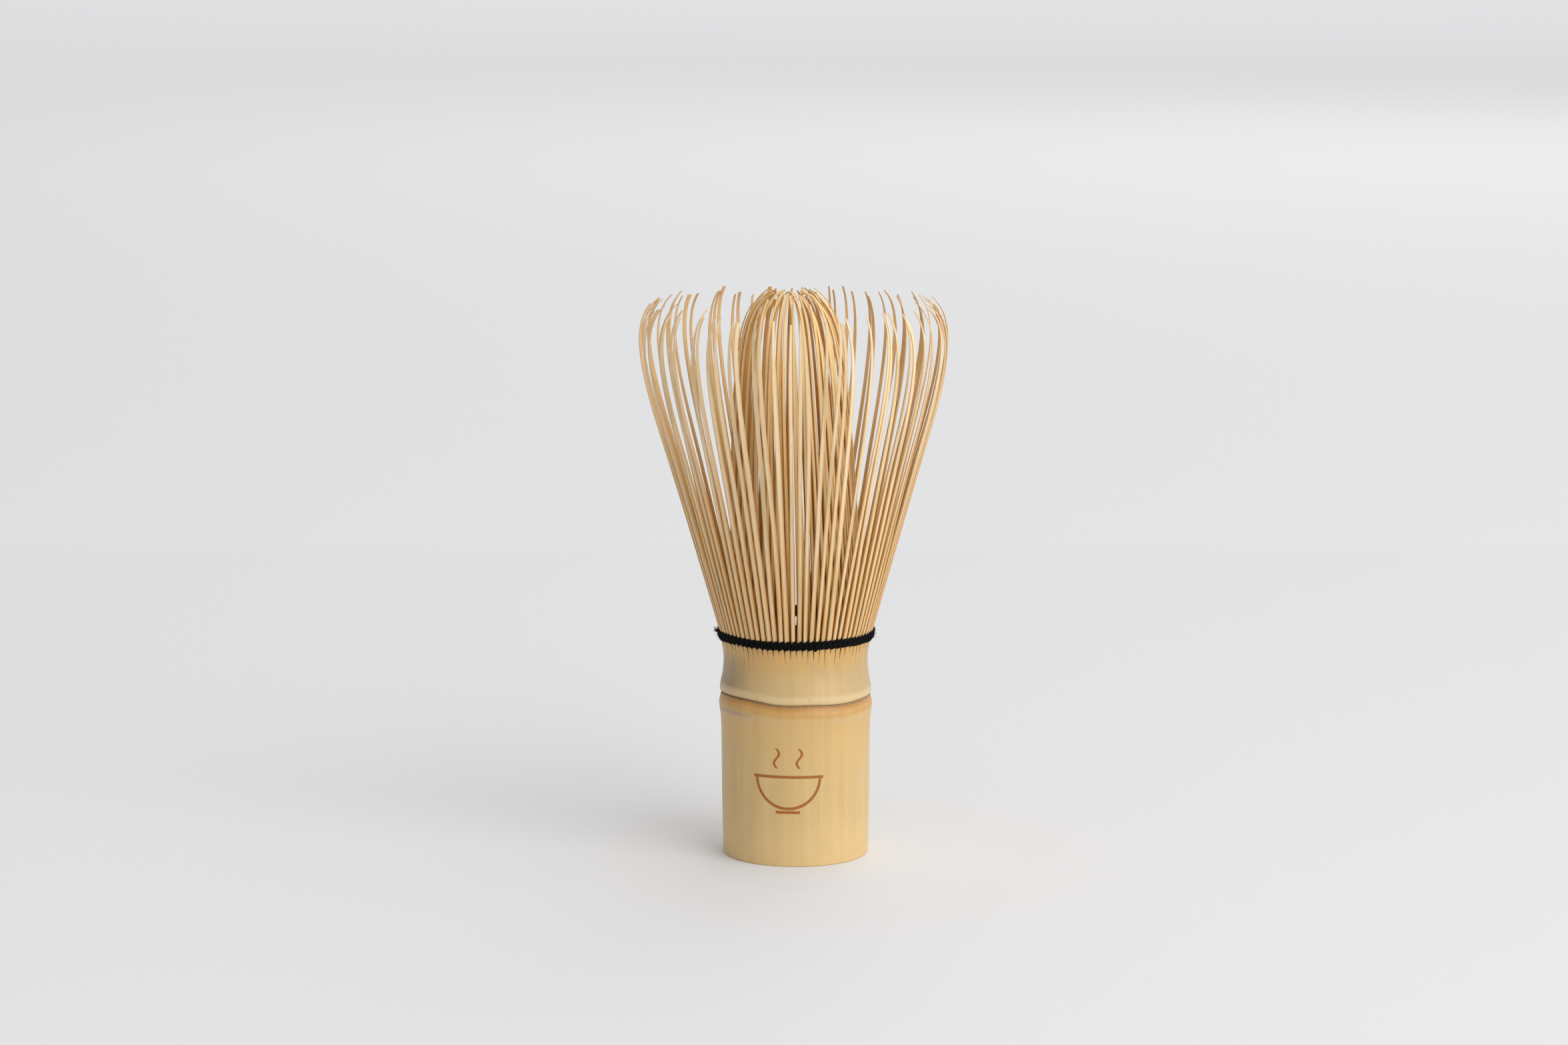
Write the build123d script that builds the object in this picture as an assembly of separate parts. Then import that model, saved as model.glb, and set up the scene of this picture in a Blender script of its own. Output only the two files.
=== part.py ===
"""Bamboo tea whisk: a hollow culm handle, two rings of carved tines and the thread woven between them.

One length of bamboo is carved into everything but the thread. Below its node it is a plain hollow
handle. Above the node its wall is split into an outer and an inner ring of tines. The thread is
woven round the roots of the outer tines and holds the two rings apart. The tines flex where they
leave the thread, so their free lengths are solids of their own, in groups that flex as one.

Millimetres. +Z is up, the origin is the centre of the foot, and the whisk stands on z = 0.
Every outline is a list of (radius, z) points.
"""

from build123d import *

import os

# The rings of tines
TINES_PER_RING = 80
GROUPS_PER_RING = 20
TINES_PER_GROUP = TINES_PER_RING // GROUPS_PER_RING
TINE_PITCH = 360 / TINES_PER_RING
GROUP_PITCH = 360 / GROUPS_PER_RING

# The culm below the node: the handle
FOOT_RADIUS = 14.0
FOOT_CHAMFER = 0.3
HANDLE_MIDDLE = (14.3, 17.0)
RIDGE_FOOT = (14.5, 26.5)
RIDGE = (14.78, 28.5)
SCAR_RADIUS = 14.35
NODE_Z = 30.1
BORE_RADIUS = 10.6

# The septum that closes the culm at its node, flush with a step at the top of the bore
SEPTUM_Z = 27.5
SEPTUM_RADIUS = 10.2
SEPTUM_DISH = 0.7

# The culm above the node: the neck
LIP = (14.62, 31.3)
SHOULDER = (14.25, 33.8)
NECK_TOP_Z = 36.0
NECK_TOP_RADIUS = 14.05
NECK_FOOT_BORE_RADIUS = 11.0
NECK_TOP_BORE_RADIUS = 11.7

# The roots of the tines: two rings of fingers that stand on the neck and stay with it
ROOT_WAIST_Z = 39.0
ROOT_TOP_Z = 43.7
OUTER_ROOT_FACE = [(NECK_TOP_RADIUS, NECK_TOP_Z), (13.93, ROOT_WAIST_Z), (14.66, ROOT_TOP_Z)]
OUTER_ROOT_BACK = [(13.0, NECK_TOP_Z), (13.05, ROOT_WAIST_Z), (13.85, ROOT_TOP_Z)]
INNER_ROOT_FACE = [(12.95, NECK_TOP_Z), (12.9, ROOT_TOP_Z)]
INNER_ROOT_BACK = [(NECK_TOP_BORE_RADIUS, NECK_TOP_Z), (12.3, ROOT_TOP_Z)]
SLIT_FOOT_Z = 36.6
SLIT_WIDE_Z = 41.4
OUTER_SLIT_WIDTH = 0.44
INNER_SLIT_WIDTH = 0.5

# The free tines. Each centre line is a straight stretch and then arcs.
TINE_FOOT_Z = 44.0
OUTER_CENTRE_LINE = [(14.32, TINE_FOOT_Z), (27.6, 88.0), (29.9, 100.3), (29.3, 104.4), (26.7, 107.9)]
OUTER_THICKNESS = [0.8, 0.42, 0.3, 0.26, 0.16]
OUTER_WIDTH = 0.7
INNER_CENTRE_LINES = [
    [(12.6, TINE_FOOT_Z), (11.45, 78.0), (9.65, 97.5), (8.45, 103.8), (5.5, 109.2)],
    [(12.6, TINE_FOOT_Z), (11.3, 78.0), (8.9, 97.5), (7.3, 103.8), (3.9, 109.9)],
]
INNER_THICKNESS = [0.6, 0.4, 0.28, 0.24, 0.16]
INNER_WIDTH = 0.48

# The thread: three rounds, each passing outside and inside the roots of the outer tines
THREAD_RADIUS = 0.27
THREAD_CLEARANCE = 0.02
THREAD_ROUNDS = {"lower": 42.44, "middle": 43.0, "upper": 43.56}
KNOT_RADIUS = 0.6
KNOT_AZIMUTH = -76.0


def turned(edges):
    """The solid of an outline of edges turned about the Z axis."""
    return revolve(Plane.XZ * make_face(Curve() + edges), Axis.Z)


def handle_culm():
    """The handle, from its foot to the node, with its bore and the seat of the septum."""
    side = Spline((FOOT_RADIUS, FOOT_CHAMFER), HANDLE_MIDDLE, RIDGE_FOOT)
    ridge = ThreePointArc(RIDGE_FOOT, RIDGE, (SCAR_RADIUS, NODE_Z))
    rest = Polyline(
        (SCAR_RADIUS, NODE_Z),
        (SEPTUM_RADIUS, NODE_Z),
        (SEPTUM_RADIUS, SEPTUM_Z),
        (BORE_RADIUS, SEPTUM_Z),
        (BORE_RADIUS, 0),
        (FOOT_RADIUS - FOOT_CHAMFER, 0),
        (FOOT_RADIUS, FOOT_CHAMFER),
    )
    return turned([side, ridge, rest])


def node_septum():
    """The wall across the culm at its node, flat below and dished above."""
    middle = (0, NODE_Z - SEPTUM_DISH)
    dish = TangentArc(middle, (SEPTUM_RADIUS, NODE_Z), tangent=(1, 0))
    rest = Polyline((SEPTUM_RADIUS, NODE_Z), (SEPTUM_RADIUS, SEPTUM_Z), (0, SEPTUM_Z), middle)
    return turned([dish, rest])


def neck_collar():
    """The culm above the node, with the lip over the scar and a bore that widens upwards."""
    lip = Line((SCAR_RADIUS, NODE_Z), LIP)
    side = Spline(LIP, SHOULDER, (NECK_TOP_RADIUS, NECK_TOP_Z))
    rest = Polyline(
        (NECK_TOP_RADIUS, NECK_TOP_Z),
        (NECK_TOP_BORE_RADIUS, NECK_TOP_Z),
        (NECK_FOOT_BORE_RADIUS, NODE_Z),
        (SCAR_RADIUS, NODE_Z),
    )
    return turned([lip, side, rest])


def root_ring(face, back, slit_width):
    """A ring of tine roots, with a slit that narrows to a point between each two."""
    ring = turned([Polyline(*face, *reversed(back), close=True)])
    above = ROOT_TOP_Z + 1
    half = slit_width / 2
    slit_outline = Polyline(
        (0, SLIT_FOOT_Z),
        (half, SLIT_WIDE_Z),
        (half, above),
        (-half, above),
        (-half, SLIT_WIDE_Z),
        close=True,
    )
    slit = extrude(Plane.YZ.offset(back[0][0] - 1) * make_face(slit_outline), face[-1][0] - back[0][0] + 2)
    return ring - [Rot(Z=n * TINE_PITCH) * slit for n in range(TINES_PER_RING)]


def tine_edge(centre_line, thickness, side):
    """One edge of a tine seen from its side: a straight stretch, then arcs that run on from each other."""
    points = []
    for n, point in enumerate(centre_line):
        before = centre_line[max(n, 1) - 1]
        after = centre_line[max(n, 1)]
        along = (Vector(*after) - Vector(*before)).normalized()
        points.append(Vector(*point) + Vector(along.Y, -along.X) * (side * thickness[n] / 2))
    edges = [Line(points[0], points[1])]
    for point in points[2:]:
        edges.append(TangentArc(edges[-1] @ 1, point, tangent=edges[-1] % 1))
    return edges


def tine(centre_line, thickness, width):
    """One free tine on azimuth 0, flat across its width, thinning from its foot to its tip."""
    outside = tine_edge(centre_line, thickness, 1)
    inside = tine_edge(centre_line, thickness, -1)
    foot = Line(inside[0] @ 0, outside[0] @ 0)
    tip = Line(outside[-1] @ 1, inside[-1] @ 1)
    outline = make_face(Curve() + [*outside, *inside, foot, tip])
    return extrude(Plane.XZ * outline, width / 2, both=True)


def tine_group(shapes, group):
    """The free tines of one group, side by side about the group's azimuth, taking the shapes in turn."""
    first = group * GROUP_PITCH - (TINES_PER_GROUP - 1) / 2 * TINE_PITCH
    return Compound(
        [Rot(Z=first + n * TINE_PITCH) * shapes[n % len(shapes)] for n in range(TINES_PER_GROUP)]
    )


def on_line(line, z):
    """The radius of the last stretch of a line at a height."""
    (r0, z0), (r1, z1) = line[-2:]
    return r0 + (r1 - r0) * (z - z0) / (z1 - z0)


def thread_round(z):
    """One round of thread: its pass outside the outer roots and its pass inside them."""
    reach = THREAD_RADIUS + THREAD_CLEARANCE
    outside = Torus(on_line(OUTER_ROOT_FACE, z) + reach, THREAD_RADIUS)
    inside = Torus(on_line(OUTER_ROOT_BACK, z) - reach, THREAD_RADIUS)
    return Pos(Z=z) * Compound([outside, inside])


def thread_knot():
    """The knot that ends the thread, hanging under its lower round."""
    z = THREAD_ROUNDS["lower"] - THREAD_RADIUS - KNOT_RADIUS
    seat = on_line(OUTER_ROOT_FACE, z) + THREAD_CLEARANCE + KNOT_RADIUS
    return Rot(Z=KNOT_AZIMUTH) * Pos(seat, 0, z) * Sphere(KNOT_RADIUS)


def nodes():
    """Every node's name and its shape."""
    outer_tine = tine(OUTER_CENTRE_LINE, OUTER_THICKNESS, OUTER_WIDTH)
    inner_tines = [tine(line, INNER_THICKNESS, INNER_WIDTH) for line in INNER_CENTRE_LINES]
    made = {
        "handle_culm": handle_culm(),
        "node_septum": node_septum(),
        "neck_collar": neck_collar(),
        "outer_tine_roots": root_ring(OUTER_ROOT_FACE, OUTER_ROOT_BACK, OUTER_SLIT_WIDTH),
        "inner_tine_roots": root_ring(INNER_ROOT_FACE, INNER_ROOT_BACK, INNER_SLIT_WIDTH),
        "thread_knot": thread_knot(),
    }
    for name, z in THREAD_ROUNDS.items():
        made[f"thread_{name}_round"] = thread_round(z)
    for group in range(GROUPS_PER_RING):
        made[f"outer_tines_{group + 1:02d}"] = tine_group([outer_tine], group)
        made[f"inner_tines_{group + 1:02d}"] = tine_group(inner_tines, group)
    return made


os.makedirs("parts", exist_ok=True)
for name, shape in nodes().items():
    export_step(shape, f"parts/{name}.step")
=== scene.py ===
"""A bamboo tea whisk: carved culm, split and shaved tines, and the twined black thread.

Lengths in this script are millimetres until a piece is made, and azimuths are radians, with the
front of the whisk at -90 degrees.
"""

import math

import bpy
import numpy as np
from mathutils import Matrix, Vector


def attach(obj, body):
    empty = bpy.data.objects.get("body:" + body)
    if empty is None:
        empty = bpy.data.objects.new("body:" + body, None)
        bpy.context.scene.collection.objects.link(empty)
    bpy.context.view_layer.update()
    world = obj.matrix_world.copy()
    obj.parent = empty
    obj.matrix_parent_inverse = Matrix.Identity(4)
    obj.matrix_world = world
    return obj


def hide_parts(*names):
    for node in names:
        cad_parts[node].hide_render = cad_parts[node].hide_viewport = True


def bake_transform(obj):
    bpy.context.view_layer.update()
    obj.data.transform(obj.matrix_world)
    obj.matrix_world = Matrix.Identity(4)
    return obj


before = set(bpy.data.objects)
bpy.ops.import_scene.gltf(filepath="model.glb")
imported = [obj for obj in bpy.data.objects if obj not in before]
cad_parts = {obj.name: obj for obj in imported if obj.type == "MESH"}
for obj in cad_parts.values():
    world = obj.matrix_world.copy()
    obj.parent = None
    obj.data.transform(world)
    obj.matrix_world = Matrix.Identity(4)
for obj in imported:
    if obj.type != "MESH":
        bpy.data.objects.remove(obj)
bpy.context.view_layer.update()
MM = 0.001
HANDLE = "handle"
FRONT = -math.pi / 2

# How the tines are laid out, as in the CAD
GROUPS = 20
TINES_PER_GROUP = 4
TINES = GROUPS * TINES_PER_GROUP
PITCH = 2 * math.pi / TINES
# A full tine's length above its root, the two rings' radii there, and the handle's bore
TINE_LENGTH = 68
OUTER_FOOT_RADIUS = 14.12
INNER_FOOT_RADIUS = 12.6
BORE_RADIUS = 10.6

# The culm's outside, as (height, radius), and the height of the scar that rings its node
CULM_SIDE = [
    (0, 14.0),
    (5, 14.13),
    (11, 14.23),
    (17, 14.29),
    (22, 14.33),
    (25.5, 14.4),
    (27.2, 14.5),
    (28.1, 14.68),
    (28.7, 14.77),
    (29.4, 14.7),
    (30.1, 14.52),
    (30.5, 14.42),
    (30.8, 14.22),
    (31.05, 14.5),
    (31.5, 14.62),
    (32.2, 14.58),
    (33.2, 14.42),
    (34.8, 14.17),
    (36.5, 13.98),
    (38.5, 13.9),
    (40, 14.03),
    (42, 14.4),
    (43.6, 14.72),
]
SCAR_Z = 30.8
# How far the scar climbs above or sinks below its mean height, by degrees round the culm
SCAR_DRIFT = [
    (-180, 0.9),
    (-153, 1.25),
    (-138, 1.35),
    (-120, 1.0),
    (-108, 0.72),
    (-90, 0.64),
    (-60, 0.48),
    (-37, 0.55),
    (0, 0.5),
    (45, 0.1),
    (90, 0.1),
    (140, 0.5),
    (180, 0.9),
]
# The top of the slit roots, and the middle of the thread at the front
ROOT_TOP_Z = 43.4
THREAD_Z = 43.15

rng = np.random.default_rng(7)


# --- Lines, meshes and pieces ---


def curve(x, points):
    """A smooth line through (x, y) points, level outside them."""
    px, py = np.array(points, float).T
    slope = np.gradient(py, px)
    x = np.clip(x, px[0], px[-1])
    n = np.clip(np.searchsorted(px, x, side="right") - 1, 0, len(px) - 2)
    h = px[n + 1] - px[n]
    t = (x - px[n]) / h
    rise = py[n] + (py[n + 1] - py[n]) * t * t * (3 - 2 * t)
    return rise + t * (1 - t) * h * (slope[n] * (1 - t) - slope[n + 1] * t)


def smooth(x):
    """0 below 0, 1 above 1, and smooth between."""
    t = np.clip(x, 0, 1)
    return t * t * (3 - 2 * t)


def ripple(azimuth, z, seed, waves, height):
    """Smooth unevenness round the culm, about 1 at most, that closes on itself."""
    draw = np.random.default_rng(seed)
    total = 0
    for _ in range(8):
        around = draw.integers(1, waves + 1)
        along = draw.normal(0, 1 / height)
        total = total + np.sin(around * azimuth + along * z + draw.uniform(0, 2 * math.pi))
    return total / 4


def piece(name, verts, faces, body, slot, material, stands_for=(), values=None, sharp=35):
    """A mesh piece from vertices in millimetres. values are its point attributes."""
    mesh = bpy.data.meshes.new(name)
    mesh.from_pydata((np.asarray(verts) * MM).tolist(), [], faces)
    for key, value in (values or {}).items():
        value = np.asarray(value, np.float32)
        kind = "FLOAT" if value.ndim == 1 else "FLOAT_VECTOR"
        attribute = mesh.attributes.new(key, kind, "POINT")
        attribute.data.foreach_set("value" if value.ndim == 1 else "vector", value.ravel())
    mesh.materials.append(material)
    mesh.shade_smooth()
    mesh.set_sharp_from_angle(angle=math.radians(sharp))
    mesh.update()
    made = bpy.data.objects.new(name, mesh)
    bpy.context.scene.collection.objects.link(made)
    if body:
        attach(made, body)
    if stands_for:
        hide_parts(*stands_for)
    return made


def grid_faces(rows, columns, start=0, close_rows=False):
    """The quads of a grid of vertices laid out row after row, closed round its columns."""
    i = np.arange(rows if close_rows else rows - 1)
    j = np.arange(columns)
    i, j = [a.ravel() for a in np.meshgrid(i, j, indexing="ij")]
    above, beside = (i + 1) % rows, (j + 1) % columns
    corners = [(i, j), (i, beside), (above, beside), (above, j)]
    quads = np.stack([row * columns + column for row, column in corners], 1)
    return (quads + start).tolist()


def rod(rings, start=0):
    """The faces of a rod with closed ends, from its (rings, sides, 3) vertices."""
    count, sides = rings.shape[:2]
    faces = grid_faces(count, sides, start)
    faces.append(list(range(start + sides - 1, start - 1, -1)))
    faces.append(list(range(start + (count - 1) * sides, start + count * sides)))
    return faces


def round_section(sides):
    """The points of a circle of radius 1."""
    angle = np.arange(sides) * 2 * math.pi / sides
    return np.stack([np.cos(angle), np.sin(angle)], 1)


def along_path(path, radius, sides=6):
    """The rings of a round cord along a path of points. radius may vary from point to point."""
    path = np.asarray(path, float)
    along = np.gradient(path, axis=0)
    along /= np.linalg.norm(along, axis=1)[:, None]
    side = np.cross(along, (0, 0, 1.0))
    bad = np.linalg.norm(side, axis=1) < 0.05
    side[bad] = np.cross(along[bad], (1.0, 0, 0))
    side /= np.linalg.norm(side, axis=1)[:, None]
    up = np.cross(side, along)
    x, y = round_section(sides)[:, :, None].swapaxes(0, 1)
    radius = np.broadcast_to(radius, len(path))[:, None, None]
    return path[:, None] + radius * (x * side[:, None] + y * up[:, None])


class Heap:
    """Rods gathered into one mesh."""

    def __init__(self):
        self.verts, self.faces, self.values, self.count = [], [], {}, 0

    def add(self, rings, **values):
        """Adds a rod. Each value is one number, or one for each vertex."""
        self.faces += rod(rings, self.count)
        verts = rings.reshape(-1, 3)
        self.verts.append(verts)
        self.count += len(verts)
        for key, value in values.items():
            value = np.asarray(value, float)
            if value.ndim == 0:
                value = np.full(len(verts), float(value))
            self.values.setdefault(key, []).append(value)

    def piece(self, name, *args, **kwargs):
        values = {key: np.concatenate(value) for key, value in self.values.items()}
        return piece(name, np.concatenate(self.verts), self.faces, *args, values=values, **kwargs)


# --- Materials ---


class Shader:
    """A small helper that builds one node material."""

    def __init__(self, name):
        self.material = bpy.data.materials.new(name)
        self.material.use_nodes = True
        self.tree = self.material.node_tree
        self.tree.nodes.clear()
        self.out = self.node("ShaderNodeOutputMaterial")
        self.bsdf = self.node("ShaderNodeBsdfPrincipled")
        self.tree.links.new(self.bsdf.outputs[0], self.out.inputs["Surface"])

    def node(self, kind, inputs=None, **settings):
        made = self.tree.nodes.new(kind)
        for key, value in settings.items():
            setattr(made, key, value)
        for key, value in (inputs or {}).items():
            self.put(made.inputs[key], value)
        return made

    def put(self, socket, value):
        if isinstance(value, bpy.types.NodeSocket):
            self.tree.links.new(value, socket)
        elif isinstance(value, (tuple, list)) and len(value) == 3 and socket.type == "RGBA":
            socket.default_value = (*value, 1)
        else:
            socket.default_value = value

    def math(self, operation, a, b=0.0):
        made = self.node("ShaderNodeMath", operation=operation)
        for socket, value in zip(made.inputs, (a, b)):
            self.put(socket, value)
        return made.outputs[0]

    def product(self, first, *factors):
        for factor in factors:
            first = self.math("MULTIPLY", first, factor)
        return first

    def attribute(self, name, output="Fac"):
        return self.node("ShaderNodeAttribute", attribute_name=name).outputs[output]

    def scaled(self, vector, scale):
        return self.node("ShaderNodeVectorMath", {0: vector, 1: scale}, operation="MULTIPLY").outputs[0]

    def noise(self, vector, scale=1.0, detail=3.0, roughness=0.55, distortion=0.0):
        inputs = {
            "Vector": vector,
            "Scale": scale,
            "Detail": detail,
            "Roughness": roughness,
            "Distortion": distortion,
        }
        return self.node("ShaderNodeTexNoise", inputs).outputs["Fac"]

    def step(self, value, low, high):
        """0 where value is below low, 1 above high, smooth between. low may be above high."""
        inputs = {"Value": value, "From Min": low, "From Max": high}
        return self.node("ShaderNodeMapRange", inputs, interpolation_type="SMOOTHSTEP").outputs[0]

    def band(self, value, centre, half, soft):
        """1 within half of centre, fading to 0 over soft."""
        away = self.math("ABSOLUTE", self.math("SUBTRACT", value, centre))
        return self.step(away, half + soft, half)

    def mix(self, amount, a, b):
        made = self.node("ShaderNodeMix", data_type="RGBA")
        for socket, value in ((made.inputs[0], amount), (made.inputs[6], a), (made.inputs[7], b)):
            self.put(socket, value)
        return made.outputs[2]

    def ramp(self, value, stops):
        made = self.node("ShaderNodeValToRGB", {"Fac": value})
        elements = made.color_ramp.elements
        elements[0].position, elements[0].color = stops[0][0], (*stops[0][1], 1)
        elements[1].position, elements[1].color = stops[-1][0], (*stops[-1][1], 1)
        for position, color in stops[1:-1]:
            elements.new(position).color = (*color, 1)
        return made.outputs[0]

    def bump(self, height, strength, distance):
        inputs = {"Height": height, "Strength": strength, "Distance": distance}
        return self.node("ShaderNodeBump", inputs).outputs[0]

    def finish(self, **inputs):
        for key, value in inputs.items():
            self.put(self.bsdf.inputs[key.replace("_", " ")], value)
        return self.material


def bowl_mark(s, across, height):
    """A plain burnt picture of a steaming bowl, as the share of burn, by millimetres on the culm."""
    rim_z, radius, foot_half = 17.6, 6.2, 2.3
    wisp_z, wisp_half, wisp_x = 21.2, 1.85, 2.2
    line, soft = 0.22, 0.12
    x = s.math("ADD", across, 1.6)
    below = s.math("SUBTRACT", rim_z, height)
    squares = [s.math("POWER", s.math("ABSOLUTE", value), 2) for value in (x, below)]
    away = s.math("SQRT", s.math("ADD", *squares))
    wall = s.product(s.band(away, radius, line, soft), s.step(below, -0.02, 0.02))
    rim = s.product(s.band(below, 0, line, soft), s.band(x, 0, radius + 0.6, soft))
    foot = s.product(s.band(below, radius + 0.7, line, soft), s.band(x, 0, foot_half, soft))
    mark = s.math("MAXIMUM", s.math("MAXIMUM", wall, rim), foot)
    sway = s.product(s.math("SINE", s.product(s.math("SUBTRACT", height, wisp_z), 1.7)), 0.5)
    for place in (-wisp_x, wisp_x):
        wisp = s.band(s.math("SUBTRACT", x, sway), place, line * 0.9, soft)
        mark = s.math("MAXIMUM", mark, s.product(wisp, s.band(height, wisp_z, wisp_half, 0.2)))
    return mark


def neck_stains_and_shade(s, color, height, side, coarse):
    """Creamy low on the neck; painted shade darkens the whole neck under the splayed tines and greys
    its sides, the left more than the right.
    """
    creamy = s.product(s.band(height, 34.3, 1.6, 2.4), s.step(coarse, 0.25, 0.6))
    color = s.mix(s.product(creamy, 0.4), color, (0.68, 0.50, 0.27))
    # Painted shade: the whole neck darker, for the shade under the splayed tines.
    on_neck = s.product(s.step(height, 30.9, 33.0), s.step(height, 43, 41))
    color = s.mix(s.product(on_neck, 0.42), color, (0.46, 0.295, 0.115))
    # Painted shade: the left side of the neck greyed and darkened, away from the light.
    left = s.product(s.step(side, -0.5, -0.95), s.step(height, 41.5, 38.5))
    color = s.mix(s.product(on_neck, left, 0.68), color, (0.255, 0.19, 0.11))
    # Painted shade: the right side of the neck a little darker, as it turns away from the front.
    right = s.product(on_neck, s.step(side, 0.45, 1.0))
    return s.mix(s.product(right, 0.5), color, (0.42, 0.29, 0.14))


def node_stains_and_shade(s, color, height, side, coarse):
    """The warm band between the ridge and the scar, the grey line on the ridge, and painted shade on
    the left just under the ridge.
    """
    by_node = s.product(s.step(height, 28.2, 28.9), s.step(height, 30.75, 30.6))
    ochre = s.ramp(coarse, [(0.3, (0.50, 0.25, 0.06)), (0.7, (0.57, 0.33, 0.10))])
    color = s.mix(s.product(by_node, 0.8), color, ochre)
    under_scar = s.product(s.step(height, 29.3, 30.3), s.step(height, 30.75, 30.6))
    color = s.mix(s.product(under_scar, 0.75), color, (0.44, 0.20, 0.04))
    below_ridge = s.band(height, 27.0, 0.3, 1.5)
    color = s.mix(s.product(below_ridge, 0.15), color, (0.62, 0.36, 0.15))
    ridge = s.product(s.band(height, 27.9, 0.05, 0.22), s.step(coarse, 0.35, 0.7))
    color = s.mix(s.product(ridge, 0.3), color, (0.56, 0.42, 0.38))
    # Painted shade: dark grey just below the crest of the ridge on the left side, away from the light.
    painted_ridge_shade = s.product(s.band(height, 28.2, 0.08, 0.4), s.step(side, -0.45, -0.85))
    return s.mix(s.product(painted_ridge_shade, 0.5), color, (0.26, 0.19, 0.17))


def scar_line(s, color, around, height, side):
    """The scar as a thin dark line, broken up a little, with painted shade darkening it on the left:
    the colour with it, and the line alone.
    """
    middle = SCAR_Z - 0.05
    ragged = s.noise(s.scaled(around, (11, 11, 5)), 1, 3, 0.6)
    offset = s.product(s.math("SUBTRACT", ragged, 0.5), 0.3)
    scar_height = s.math("ADD", height, offset)
    scar = s.band(scar_height, middle, 0.13, 0.16)
    stain = s.product(s.band(scar_height, middle, 0.15, 0.6), s.step(ragged, 0.3, 0.65))
    color = s.mix(s.product(stain, 0.4), color, (0.30, 0.15, 0.06))
    core = s.band(scar_height, SCAR_Z - 0.09, 0.02, 0.1)
    dark = s.mix(core, (0.19, 0.10, 0.045), (0.37, 0.23, 0.115))
    # Painted shade: the scar line darker on the left side, away from the light.
    dark = s.mix(s.product(s.step(side, -0.3, -0.9), 0.7), dark, (0.085, 0.055, 0.04))
    return s.mix(s.product(scar, 0.82), color, dark), scar


def slit_hairlines(s, x, y, height):
    """A hairline that runs on below each slit, some of them a long way, as a share."""
    turn = s.math("DIVIDE", s.math("ARCTAN2", y, x), PITCH)
    number = s.math("ROUND", turn)
    away = s.product(s.math("ABSOLUTE", s.math("SUBTRACT", turn, number)), 14.1 * PITCH)
    white = s.node("ShaderNodeTexWhiteNoise", {"W": number}, noise_dimensions="1D")
    chance = white.outputs["Value"]
    reach = s.math("SUBTRACT", 40.9, s.product(s.math("POWER", chance, 3.0), 4.0))
    fade = s.step(s.math("SUBTRACT", height, reach), -0.2, 1.3)
    return s.product(s.step(away, 0.13, 0.03), fade, s.step(height, 37.0, 38.0))


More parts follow.
